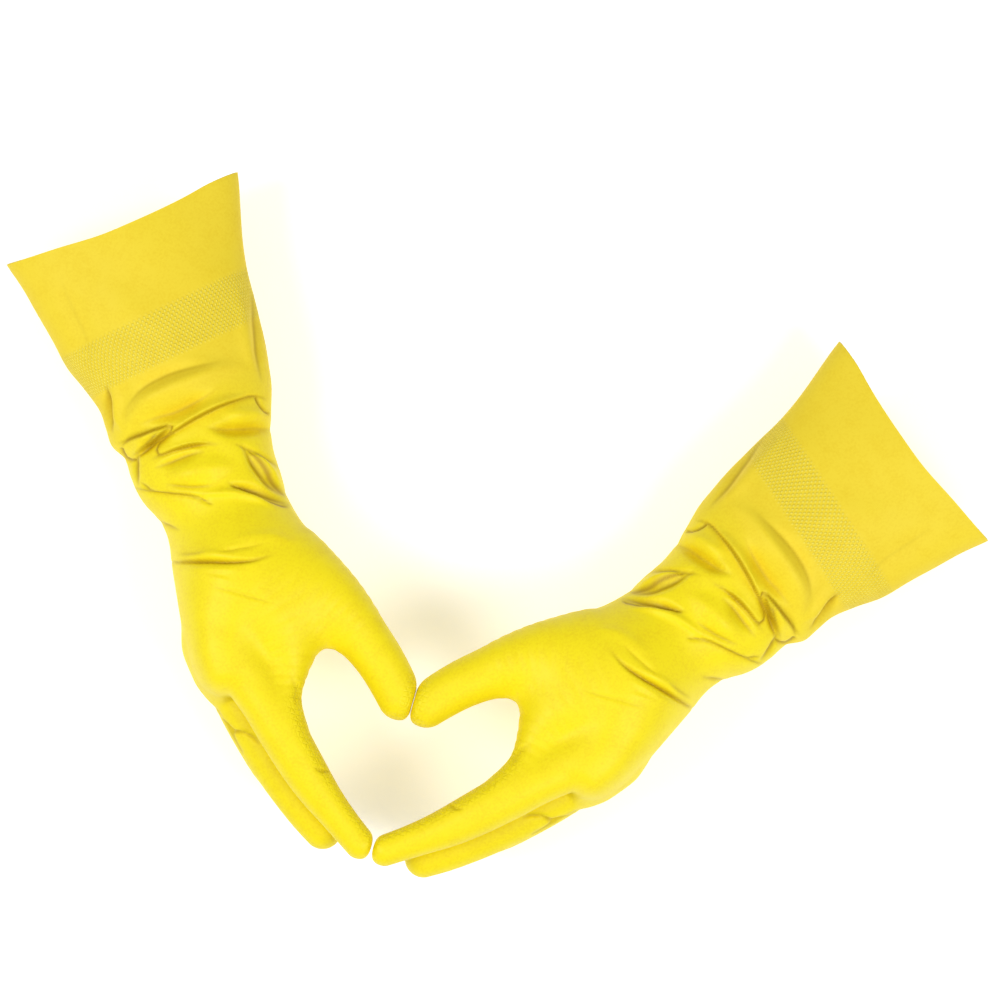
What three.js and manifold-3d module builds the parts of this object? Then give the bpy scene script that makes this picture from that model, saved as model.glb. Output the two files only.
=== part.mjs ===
// A pair of household rubber gloves, worn shape, lying on their little-finger edges with
// thumb tips and forefinger tips almost touching. Millimetres, +Z up, +Y towards the cuffs.
// Each glove is a moulded latex skin, split where it bends, with a cotton flock lining inside.
import * as THREE from 'three';
import { ParametricGeometry } from 'three/addons/geometries/ParametricGeometry.js';
import Module from 'manifold-3d';

const wasm = await Module();
wasm.setup();

// Walls and clearances.
const WALL = 1.2; // latex wall
const FLOCK = 0.8; // flock lining
const FIT = 0.3; // gap between the latex and the lining
const BALL_FIT = 0.9; // gap between a ball and its socket, measured at the facets' corners
const ROUND = 12; // facets round a digit
const BROAD = 20; // facets round the palm and the cuff
const BALL_BACK = 0.5; // how far a ball reaches behind its centre, as a part of its radius
const PARTNER_GAP = 0.15; // from the plane between the gloves to each tip that meets its partner

// Wrist: the point that the cuff swings about, and the cuff's lean away from +Y.
const WRIST = new THREE.Vector3(-110, -2, 44);
const CUFF_LEAN = 34.2;
const WRIST_BALL = 28;
const WRIST_NECK = 25;

// Cuff: half widths at the wrist and at the mouth, in the plane of the pair and upright.
const CUFF_LENGTH = 131.2;
const CUFF_HALF_WRIST = 30.4;
const CUFF_HALF_MOUTH = 56.5;
const CUFF_RISE_WRIST = 30.4;
const CUFF_RISE_MOUTH = 21;
const LINING_HEM = 3; // bare latex between the flock and the cuff's mouth
const CUFF_STATIONS = [0, 14, 27, 48, 72, 100, CUFF_LENGTH];
const CUFF_LINING_STATIONS = [27, 48, 72, 100, CUFF_LENGTH - LINING_HEM];
const FLARE_EVEN = 0.55; // part of the flare that grows almost evenly; the rest comes late
const FLARE_EVEN_POWER = 0.9;
const FLARE_LATE_POWER = 2.2;
const FLATTEN_FROM = 0.08; // part of the cuff's length where it starts to flatten
const MOUTH_SLANT = 0.08; // the mouth's far corner stands this much further out per mm of width

// Palm: a bent tube from the wrist to the knuckles. Parts are of its centre line's length.
const PALM_CREST = 45; // upright half size at the knuckles; the floor cuts it flat
const PALM_HALF = 25.5; // half width in the middle of the hand
const PALM_NARROWING = 11; // how much of that goes by the knuckles
const PALM_SPREAD = [0.16, 0.6]; // parts over which the wrist opens into the palm
const PALM_TAPER = [0.45, 0.9]; // parts over which the palm narrows again
const WRIST_STRAIGHT = 16; // how far the palm runs on in the cuff's line
const PALM_BENDS = [[-97, -36], [-91, -56], [-84, -72], [-75, -82]];
const PALM_SQUARE = 2.5; // superellipse power of the palm's section
const PALM_STATIONS = [0.08, 0.18, 0.3, 0.4, 0.5, 0.6, 0.7, 0.8, 0.9, 1]; // parts of its length
const PALM_LINING_STATIONS = [0.3, 0.4, 0.5, 0.6, 0.7];
const SOCKET_MOUTH = 6; // how far a finger socket's hollow is carried out past its rim

// Cutting blocks: their reach forwards, to the back of the hand, and past the outer fingers.
const BLOCK_DEPTH = 60;
const BLOCK_DORSAL = 50;
const BLOCK_END = 30;
const THUMB_CLEAR = 18;
const FLOOR_CUT = 20;
const FLOOR_SPAN = 400;

// Digits: the knuckle's place; the root's turn from +X, anticlockwise; the tip's turn from its
// root; the lengths to the middle joint and on to the round end's centre; and three radii. A
// digit with no "end" meets its partner's.
const DIGITS = [
  { name: 'thumb', x: -60, y: -27, z: 64, aim: -33.5, curl: -9, root: 36, ball: 13.2, mid: 11, tip: 9.4 },
  { name: 'index', x: -78, y: -76, z: 77, aim: -43.5, curl: 8, root: 47, ball: 9.6, mid: 8.5, tip: 7.8 },
  { name: 'middle', x: -87, y: -79, z: 55, aim: -46, curl: 14, root: 47, end: 38, ball: 9.6, mid: 8.5, tip: 8 },
  { name: 'ring', x: -90, y: -78, z: 33, aim: -46, curl: 13, root: 44, end: 35, ball: 9.4, mid: 8.3, tip: 7.8 },
  { name: 'little', x: -90, y: -71, z: 11.6, aim: -44, curl: 9, root: 36, end: 27, ball: 8.6, mid: 7.7, tip: 7.1 },
];
const NECK = 0.86; // a digit's tube as a part of the ball that it grows from
const STACK_HALF = 11; // half the height that each finger has to itself
const WAIST_AT = 0.5; // part of a tip's length where it is thickest
const WAIST_SWELL = 1.02; // its radius there, as a part of the round end's
const ROOT_LINING_INSET = 1.5; // from a root's two balls to the ends of its flock
const TIP_LINING_INSET = 1;

// Angles from a digit's axis, in degrees, of the arcs that its balls and bells are turned from.
const BALL_ARC = { rear: 120, front: 62 };
const BALL_HOLLOW_ARC = { rear: 124, front: 60 };
const BELL_REAR = 130;
const BELL_HOLLOW_REAR = 133;
const BALL_STEPS = 3;
const BELL_STEPS = 2;
const DOME_STEPS = 4;
const LINING_DOME_STEPS = 3;
const WRIST_STACKS = 10;

const CONE_FACETS = 16;

// Thenar: the cone of palm that carries the thumb's socket.
const THENAR_START = new THREE.Vector3(-91, -25, 54);
const THENAR_RADIUS = 23;

// Web: the skin between thumb and forefinger, and how far it stands off the forefinger.
const WEB_START = new THREE.Vector3(-84, -36, 62);
const WEB_START_RADIUS = 18;
const WEB_END = new THREE.Vector3(-68, -58, 70);
const WEB_END_RADIUS = 12;
const WEB_STAND_OFF = 11;

const UP = new THREE.Vector3(0, 0, 1);

function heading(degrees) {
  const angle = THREE.MathUtils.degToRad(degrees);
  return new THREE.Vector3(Math.cos(angle), Math.sin(angle), 0);
}

// One closed section of a loft: its centre, the direction it faces, its half sizes.
function ring(centre, direction, half, rise, power = 2, slant = 0) {
  const side = new THREE.Vector3().crossVectors(UP, direction);
  return { centre, direction, side, half, rise, power, slant };
}

function pointOn(section, turn, target) {
  const c = Math.cos(turn);
  const s = Math.sin(turn);
  const across = section.half * Math.sign(c) * Math.abs(c) ** (2 / section.power);
  const up = section.rise * Math.sign(s) * Math.abs(s) ** (2 / section.power);
  target.copy(section.centre);
  target.addScaledVector(section.side, across);
  target.addScaledVector(section.direction, section.slant * across);
  target.addScaledVector(UP, up);
}

// Turns a closed skin's triangles over if they face inwards.
function facedOut(geometry) {
  const position = geometry.attributes.position;
  const order = geometry.index.array;
  const corners = [new THREE.Vector3(), new THREE.Vector3(), new THREE.Vector3()];
  let volume = 0;
  for (let i = 0; i < order.length; i += 3) {
    corners.forEach((corner, k) => corner.fromBufferAttribute(position, order[i + k]));
    volume += corners[0].dot(corners[1].cross(corners[2]));
  }
  if (volume < 0) {
    geometry.index.array.reverse();
  }
  return geometry;
}

// A skin through the sections in order. A looped one runs from the last back to the first.
function loft(sections, sides, looped) {
  const steps = looped ? sections.length : sections.length - 1;
  const place = (u, v, target) => {
    const index = Math.round(v * steps) % sections.length;
    const turn = (2 * Math.PI * ((Math.round(u * sides) % sides) + 0.5)) / sides;
    pointOn(sections[index], turn, target);
  };
  return facedOut(new ParametricGeometry(place, sides, steps));
}

// Sections along a straight axis from a profile of [distance, radius] pairs.
function turned(origin, direction, profile) {
  return profile.map(([distance, radius]) => {
    const centre = origin.clone().addScaledVector(direction, distance);
    return ring(centre, direction, radius, radius);
  });
}

// Arc of a sphere about a point on the axis: angles are measured from the axis, in degrees.
function arc(centre, radius, from, to, steps) {
  const profile = [];
  for (let i = 0; i <= steps; i += 1) {
    const angle = THREE.MathUtils.degToRad(THREE.MathUtils.lerp(from, to, i / steps));
    profile.push([centre + radius * Math.cos(angle), radius * Math.sin(angle)]);
  }
  return profile;
}

function toManifold(geometry) {
  const position = geometry.attributes.position;
  const index = geometry.index;
  const keys = new Map();
  const vertices = [];
  const remap = [];
  for (let i = 0; i < position.count; i += 1) {
    const point = [position.getX(i), position.getY(i), position.getZ(i)];
    const key = point.map((value) => Math.round(value * 1e5)).join();
    if (!keys.has(key)) {
      keys.set(key, vertices.length / 3);
      vertices.push(...point);
    }
    remap.push(keys.get(key));
  }
  const triangles = [];
  for (let i = 0; i < index.count; i += 3) {
    const corners = [0, 1, 2].map((k) => remap[index.getX(i + k)]);
    if (new Set(corners).size === 3) {
      triangles.push(...corners);
    }
  }
  const mesh = new wasm.Mesh({
    numProp: 3,
    vertProperties: new Float32Array(vertices),
    triVerts: new Uint32Array(triangles),
  });
  return new wasm.Manifold(mesh);
}

function fromManifold(solid) {
  const mesh = solid.getMesh();
  const geometry = new THREE.BufferGeometry();
  const points = new Float32Array(mesh.vertProperties);
  geometry.setAttribute('position', new THREE.BufferAttribute(points, 3));
  geometry.setIndex(new THREE.BufferAttribute(new Uint32Array(mesh.triVerts), 1));
  return geometry;
}

function sphere(centre, radius, sides, stacks) {
  const profile = arc(0, radius, 180, 0, stacks);
  return toManifold(loft(turned(centre, heading(0), profile), sides, false));
}

// A block whose near face passes the point, square to the direction, in one height band. It
// reaches BLOCK_DORSAL to the back of the hand and the given distance to the palm side.
function frontBlock(point, direction, behind, palmar, below, above) {
  const geometry = new THREE.BoxGeometry(BLOCK_DEPTH + behind, BLOCK_DORSAL + palmar, below + above);
  geometry.translate((BLOCK_DEPTH - behind) / 2, (palmar - BLOCK_DORSAL) / 2, (above - below) / 2);
  geometry.rotateZ(Math.atan2(direction.y, direction.x));
  geometry.translate(point.x, point.y, point.z);
  return toManifold(geometry);
}

function floorBlock(height) {
  const geometry = new THREE.BoxGeometry(FLOOR_SPAN, FLOOR_SPAN, FLOOR_CUT);
  geometry.translate(WRIST.x, WRIST.y, height - FLOOR_CUT / 2);
  return toManifold(geometry);
}

// The lines of a digit: its knuckle and the root's direction, then the middle joint, the tip's
// direction and the distance on to the centre of its round end.
function digitPlaces(digit) {
  const direction = heading(digit.aim);
  const knuckle = new THREE.Vector3(digit.x, digit.y, digit.z);
  const joint = knuckle.clone().addScaledVector(direction, digit.root);
  const tipDirection = heading(digit.aim + digit.curl);
  const end = digit.end ?? (-PARTNER_GAP - digit.tip - joint.x) / tipDirection.x;
  return { direction, knuckle, joint, tipDirection, end };
}

// Root of a digit: a ball in the palm's socket, a tube, and a bell over the tip's ball.
function digitRoot(digit) {
  const { direction, knuckle } = digitPlaces(digit);
  const neck = digit.ball * NECK;
  const bell = digit.mid + BALL_FIT;
  const neckEnd = digit.root - bell - WALL;
  const outer = [
    ...arc(0, digit.ball, BALL_ARC.rear, BALL_ARC.front, BALL_STEPS),
    [neckEnd, neck],
    ...arc(digit.root, bell + WALL, BELL_REAR, 90, BELL_STEPS),
  ];
  const inner = [
    ...arc(digit.root, bell, 90, BELL_HOLLOW_REAR, BELL_STEPS),
    [neckEnd, neck - WALL],
    ...arc(0, digit.ball - WALL, BALL_HOLLOW_ARC.front, BALL_HOLLOW_ARC.rear, BALL_STEPS),
  ];
  return loft(turned(knuckle, direction, [...inner, ...outer]), ROUND, true);
}

// Tip of a digit: a ball in the root's bell, a tube and a round closed end.
function digitTip(digit) {
  const { joint, tipDirection, end } = digitPlaces(digit);
  const waist = digit.tip * WAIST_SWELL;
  const outer = [
    ...arc(0, digit.mid, BALL_ARC.rear, BALL_ARC.front, BALL_STEPS),
    [end * WAIST_AT, waist],
    ...arc(end, digit.tip, 90, 0, DOME_STEPS),
  ];
  const inner = [
    ...arc(end, digit.tip - WALL, 0, 90, DOME_STEPS),
    [end * WAIST_AT, waist - WALL],
    ...arc(0, digit.mid - WALL, BALL_HOLLOW_ARC.front, BALL_HOLLOW_ARC.rear, BALL_STEPS),
  ];
  return loft(turned(joint, tipDirection, [...inner, ...outer]), ROUND, false);
}

// Flock in a digit's root: a plain sleeve between the two joints.
function rootLining(digit) {
  const { direction, knuckle } = digitPlaces(digit);
  const radius = digit.ball * NECK - WALL - FIT;
  const from = digit.ball + ROOT_LINING_INSET;
  const to = digit.root - digit.mid - ROOT_LINING_INSET;
  const profile = [[from, radius - FLOCK], [to, radius - FLOCK], [to, radius], [from, radius]];
  return loft(turned(knuckle, direction, profile.reverse()), ROUND, true);
}

// Flock in a digit's tip: a sleeve closed by a round end.
function tipLining(digit) {
  const { joint, tipDirection, end } = digitPlaces(digit);
  const radius = digit.tip - WALL - FIT;
  const from = digit.mid + TIP_LINING_INSET;
  const mouth = (digit.mid - WALL) * NECK - FIT;
  const outer = [[from, mouth], ...arc(end, radius, 90, 0, LINING_DOME_STEPS)];
  const inner = [...arc(end, radius - FLOCK, 0, 90, LINING_DOME_STEPS), [from, mouth - FLOCK]];
  return loft(turned(joint, tipDirection, [...inner, ...outer]), ROUND, false);
}

const cuffAxis = heading(90 + CUFF_LEAN);

// Half sizes of the cuff at a distance from the wrist: straight near the ball, then flaring.
function cuffHalf(distance) {
  const part = distance / CUFF_LENGTH;
  const flare = CUFF_HALF_MOUTH - CUFF_HALF_WRIST;
  const even = FLARE_EVEN * part ** FLARE_EVEN_POWER;
  const late = (1 - FLARE_EVEN) * part ** FLARE_LATE_POWER;
  return CUFF_HALF_WRIST + flare * (even + late);
}

function cuffRise(distance) {
  const part = THREE.MathUtils.smoothstep(distance / CUFF_LENGTH, FLATTEN_FROM, 1);
  return THREE.MathUtils.lerp(CUFF_RISE_WRIST, CUFF_RISE_MOUTH, part);
}

function cuffSections(stations, inset) {
  return stations.map((distance) => {
    const centre = WRIST.clone().addScaledVector(cuffAxis, distance);
    const slant = -MOUTH_SLANT * (distance / CUFF_LENGTH) ** 2;
    const half = cuffHalf(distance) - inset;
    const rise = cuffRise(distance) - inset;
    return ring(centre, cuffAxis, half, rise, 2, slant);
  });
}

// An open sleeve, out along one wall and back along the other. A lining starts with its inner
// wall, so that its outer facets fold the same way as the skin's inner ones.
function sleeve(there, back) {
  return loft([...there, ...back.reverse()], BROAD, true);
}

function cuffSkin() {
  return sleeve(cuffSections(CUFF_STATIONS, 0), cuffSections(CUFF_STATIONS, WALL));
}

function cuffLining() {
  const inner = cuffSections(CUFF_LINING_STATIONS, WALL + FIT + FLOCK);
  return sleeve(inner, cuffSections(CUFF_LINING_STATIONS, WALL + FIT));
}

// The palm's centre line leaves the wrist straight, bends, and meets the fingers square on.
const palmLine = new THREE.CatmullRomCurve3([
  WRIST.clone(),
  WRIST.clone().addScaledVector(cuffAxis, -WRIST_STRAIGHT),
  ...PALM_BENDS.map(([x, y]) => new THREE.Vector3(x, y, WRIST.z)),
]);

function palmSection(part, inset, power) {
  const centre = palmLine.getPointAt(part);
  const direction = palmLine.getTangentAt(part);
  const spread = THREE.MathUtils.smoothstep(part, ...PALM_SPREAD);
  const taper = THREE.MathUtils.smoothstep(part, ...PALM_TAPER);
  const half = THREE.MathUtils.lerp(WRIST_NECK, PALM_HALF, spread) - PALM_NARROWING * taper - inset;
  const rise = THREE.MathUtils.lerp(WRIST_NECK, PALM_CREST, spread) - inset;
  return ring(centre, direction, half, rise, THREE.MathUtils.lerp(2, power, spread));
}

function palmSections(stations, inset) {
  return stations.map((part) => palmSection(part, inset, PALM_SQUARE));
}

// A closed solid loft: the end sections shrink to points on the centre line.
function solidLoft(sections, sides) {
  const first = sections[0];
  const last = sections[sections.length - 1];
  const start = ring(first.centre, first.direction, 0, 0);
  const finish = ring(last.centre, last.direction, 0, 0);
  return toManifold(loft([start, ...sections, finish].reverse(), sides, false));
}

// A cone between two balls, as one closed solid.
function cone(from, fromRadius, to, toRadius) {
  const axis = to.clone().sub(from);
  const length = axis.length();
  axis.normalize();
  const side = new THREE.Vector3().crossVectors(UP, axis).normalize();
  const top = new THREE.Vector3().crossVectors(axis, side);
  const profile = [
    ...arc(0, fromRadius, 180, 90, DOME_STEPS),
    ...arc(length, toRadius, 90, 0, DOME_STEPS),
  ];
  const place = (u, v, target) => {
    const [distance, radius] = profile[Math.round(v * (profile.length - 1))];
    const turn = (2 * Math.PI * ((Math.round(u * CONE_FACETS) % CONE_FACETS) + 0.5)) / CONE_FACETS;
    target.copy(from).addScaledVector(axis, distance);
    target.addScaledVector(side, radius * Math.cos(turn));
    target.addScaledVector(top, radius * Math.sin(turn));
  };
  return toManifold(facedOut(new ParametricGeometry(place, CONE_FACETS, profile.length - 1)));
}

// The palm's two swellings on the thumb's side, drawn in from the outside by the inset.
function thumbSide(inset) {
  const { knuckle } = digitPlaces(DIGITS[0]);
  const socket = DIGITS[0].ball + BALL_FIT + WALL - inset;
  const thenar = cone(THENAR_START, THENAR_RADIUS - inset, knuckle, socket);
  return thenar.add(cone(WEB_START, WEB_START_RADIUS - inset, WEB_END, WEB_END_RADIUS - inset));
}

// Everything in front of the knuckles: one block for each finger's own height band.
function knuckleBlocks(behind) {
  return DIGITS.slice(1).map((digit) => {
    const { direction, knuckle } = digitPlaces(digit);
    const band = STACK_HALF + behind;
    const below = digit.name === 'little' ? BLOCK_END : band;
    const above = digit.name === 'index' ? BLOCK_END : band;
    const palmar = digit.name === 'index' ? WEB_STAND_OFF + behind : BLOCK_DORSAL;
    return frontBlock(knuckle, direction, behind, palmar, below, above);
  });
}

function cutAll(solid, blocks) {
  return blocks.reduce((rest, block) => rest.subtract(block), solid);
}

function palmSkin() {
  const thumb = digitPlaces(DIGITS[0]);
  let outer = solidLoft(palmSections(PALM_STATIONS, 0), BROAD);
  outer = outer.add(sphere(WRIST, WRIST_BALL, BROAD, WRIST_STACKS)).add(thumbSide(0));
  outer = cutAll(outer, knuckleBlocks(0));
  let inner = solidLoft(palmSections(PALM_STATIONS, WALL), BROAD);
  inner = inner.add(sphere(WRIST, WRIST_BALL - WALL, BROAD, WRIST_STACKS)).add(thumbSide(WALL));
  inner = cutAll(inner, knuckleBlocks(WALL));
  for (const digit of DIGITS.slice(1)) {
    const { direction, knuckle } = digitPlaces(digit);
    const socket = digit.ball + BALL_FIT;
    const bulge = turned(knuckle, direction, arc(0, socket + WALL, 90, 180, DOME_STEPS));
    outer = outer.add(solidLoft(bulge.reverse(), ROUND));
    const mouth = [SOCKET_MOUTH, socket];
    const hollow = turned(knuckle, direction, [mouth, ...arc(0, socket, 90, 180, DOME_STEPS)]);
    inner = inner.add(solidLoft(hollow.reverse(), ROUND));
  }
  const rear = WRIST.clone().addScaledVector(cuffAxis, WRIST_BALL * BALL_BACK);
  const wristMouth = frontBlock(rear, cuffAxis, 0, BLOCK_DORSAL, BLOCK_DEPTH, BLOCK_DEPTH);
  const thumbMouth = frontBlock(thumb.knuckle, thumb.direction, 0, THUMB_CLEAR, THUMB_CLEAR, BLOCK_END);
  outer = cutAll(outer, [floorBlock(0), wristMouth, thumbMouth]);
  return outer.subtract(inner.subtract(floorBlock(WALL)));
}

function palmLining() {
  const outer = palmSections(PALM_LINING_STATIONS, WALL + FIT);
  const inner = palmSections(PALM_LINING_STATIONS, WALL + FIT + FLOCK);
  const tube = toManifold(sleeve(inner, outer));
  const cuts = [...knuckleBlocks(WALL + FIT), thumbSide(WALL + FIT), floorBlock(WALL + FIT)];
  return cutAll(tube, cuts);
}

function addPiece(group, name, geometry, look) {
  const material = new THREE.MeshStandardMaterial(look);
  const mesh = new THREE.Mesh(geometry, material);
  mesh.name = name;
  group.add(mesh);
}

function glove(hand) {
  const latex = { color: 0xf7df1e, roughness: 0.48, metalness: 0 };
  const flock = { color: 0xf4ecc4, roughness: 0.95, metalness: 0 };
  const group = new THREE.Group();
  addPiece(group, `${hand}_cuff`, cuffSkin(), latex);
  addPiece(group, `${hand}_cuff_lining`, cuffLining(), flock);
  addPiece(group, `${hand}_palm`, fromManifold(palmSkin()), latex);
  addPiece(group, `${hand}_palm_lining`, fromManifold(palmLining()), flock);
  for (const digit of DIGITS) {
    addPiece(group, `${hand}_${digit.name}_root`, digitRoot(digit), latex);
    addPiece(group, `${hand}_${digit.name}_tip`, digitTip(digit), latex);
    addPiece(group, `${hand}_${digit.name}_root_lining`, rootLining(digit), flock);
    addPiece(group, `${hand}_${digit.name}_tip_lining`, tipLining(digit), flock);
  }
  return group;
}

const pair = new THREE.Group();
const left = glove('left');
const right = glove('right');
right.scale.x = -1;
pair.add(left, right);

export default pair;
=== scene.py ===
"""A pair of yellow household rubber gloves in worn shape, thumb to thumb and finger to finger.

Each glove's skin is worked out as one continuous surface: a sleeve (cuff, wrist and palm) and
tubes (digits, ball of the thumb, web) are melted together as a distance field, meshed as whole
arrays, creased, and cut into pieces where the rubber stays stiff.
"""
import logging
import math
from dataclasses import dataclass
from enum import Enum
from typing import Any, Sequence

import bpy
import numpy as np
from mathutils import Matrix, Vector


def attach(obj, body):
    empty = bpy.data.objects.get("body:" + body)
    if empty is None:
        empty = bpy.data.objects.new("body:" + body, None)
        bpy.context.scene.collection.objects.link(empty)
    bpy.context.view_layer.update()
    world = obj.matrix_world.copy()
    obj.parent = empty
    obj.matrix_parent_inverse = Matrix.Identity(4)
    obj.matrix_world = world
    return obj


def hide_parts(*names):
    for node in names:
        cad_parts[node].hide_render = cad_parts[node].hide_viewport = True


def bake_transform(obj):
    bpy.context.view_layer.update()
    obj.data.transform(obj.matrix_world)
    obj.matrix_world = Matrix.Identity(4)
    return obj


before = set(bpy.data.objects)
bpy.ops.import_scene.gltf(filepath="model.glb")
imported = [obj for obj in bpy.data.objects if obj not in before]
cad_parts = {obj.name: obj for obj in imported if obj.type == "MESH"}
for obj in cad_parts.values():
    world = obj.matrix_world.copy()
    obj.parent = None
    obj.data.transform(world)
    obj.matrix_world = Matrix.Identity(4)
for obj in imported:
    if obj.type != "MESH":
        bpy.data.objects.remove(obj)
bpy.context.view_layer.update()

LOG = logging.getLogger("gloves")
MM = 0.001
Array = np.ndarray
Point2 = tuple[float, float]
Point3 = tuple[float, float, float]
Colour = tuple[float, float, float, float]
FAR_AWAY = 1e6
LEAST_SLOPE = 0.2
TINY = 1e-9


class Hand(Enum):
    """Which glove of the pair; its value is the sign that its x coordinates are multiplied by."""

    LEFT = 1.0
    RIGHT = -1.0

    @property
    def word(self) -> str:
        """Returns the hand's name as the bodies and pieces spell it."""
        return self.name.lower()


class Fold(Enum):
    """How the rubber lies along a crease line."""

    RIDGE = "ridge"
    VALLEY = "valley"
    LAP = "lap"
    LINE = "line"

    @property
    def taper(self) -> float:
        """Returns the part of the line's length over which each end eases out."""
        return 0.1 if self is Fold.LINE else 0.4


def smooth(value: Array) -> Array:
    """Eases 0..1 with the cubic 3v^2 - 2v^3, and holds it outside.

    Args:
        value: any numbers.
    Returns:
        The eased numbers, 0 to 1.
    """
    held = np.clip(value, 0.0, 1.0)
    return held * held * (3.0 - 2.0 * held)


def band(value: Array, low: float, high: float, soft: float) -> Array:
    """Is 1 between low and high and eases to 0 over soft on each side.

    Args:
        value: the coordinate.
        low: where the band starts.
        high: where it ends.
        soft: width of the fade.
    Returns:
        The mask, 0 to 1.
    """
    return smooth((value - low) / soft + 1.0) * smooth((high - value) / soft + 1.0)


def curve_through(x: Array, knots: Sequence[Point2]) -> Array:
    """Reads a smooth curve through (x, y) knots: cubic pieces whose slopes at each knot are those
    between its two neighbours.

    Args:
        x: where to read it.
        knots: the points, in rising x.
    Returns:
        The curve's height at each x.
    """
    table = np.array(knots, float)
    xs, ys = table[:, 0], table[:, 1]
    slope = np.gradient(ys, xs)
    at = np.clip(x, xs[0], xs[-1])
    i = np.clip(np.searchsorted(xs, at) - 1, 0, len(xs) - 2)
    step = xs[i + 1] - xs[i]
    s = (at - xs[i]) / step
    rise = (1 + 2 * s) * (1 - s) ** 2 * ys[i] + s * s * (3 - 2 * s) * ys[i + 1]
    return rise + step * s * (1 - s) * ((1 - s) * slope[i] - s * slope[i + 1])


def drawn_through(points: Sequence[Sequence[float]], spacing: float) -> Array:
    """Resamples a path as a smooth line: each coordinate is a cubic curve of the length so far.

    Args:
        points: the path's knots, with any number of coordinates.
        spacing: distance between samples.
    Returns:
        The samples, one row each.
    """
    knots = np.array(points, float)
    gaps = np.linalg.norm(np.diff(knots[:, :2], axis=0), axis=1)
    length = np.concatenate([[0.0], np.cumsum(gaps)])
    at = np.linspace(0.0, length[-1], max(2, int(math.ceil(length[-1] / spacing)) + 1))
    columns = [curve_through(at, list(zip(length, knots[:, k]))) for k in range(knots.shape[1])]
    return np.stack(columns, axis=1)


def melt(a: Array, b: Array, soft: float) -> Array:
    """Joins two distance fields with a fillet: their minimum, less h^2 soft / 4 where h is how
    nearly equal they are.

    Args:
        a: the first field.
        b: the second field.
        soft: size of the fillet.
    Returns:
        The joined field.
    """
    near = np.maximum(soft - np.abs(a - b), 0.0) / soft
    return np.minimum(a, b) - near * near * soft * 0.25


@dataclass(frozen=True)
class Forearm:
    """The straight line that the cuff, wrist and palm are built along.

    A point's "along" is its distance from the wrist towards the cuff's mouth, and its "across" is
    measured from the back of the hand towards the thumb.
    """

    wrist: Point3 = (-110.0, -2.0, 44.0)
    lean_deg: float = 34.2

    def split(self, points: Array) -> tuple[Array, Array]:
        """Turns row coordinates into (along, across) by a rotation of the plane.

        Args:
            points: rows of x, y and more, in mm.
        Returns:
            Along and across, in mm.
        """
        lean = math.radians(self.lean_deg)
        dx, dy = points[:, 0] - self.wrist[0], points[:, 1] - self.wrist[1]
        return dy * math.cos(lean) - dx * math.sin(lean), dx * math.cos(lean) + dy * math.sin(lean)

    def place(self, along: float) -> Point3:
        """Returns the point of the line at a distance along it, in mm."""
        lean = math.radians(self.lean_deg)
        x, y, z = self.wrist
        return (x - along * math.sin(lean), y + along * math.cos(lean), z)


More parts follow.
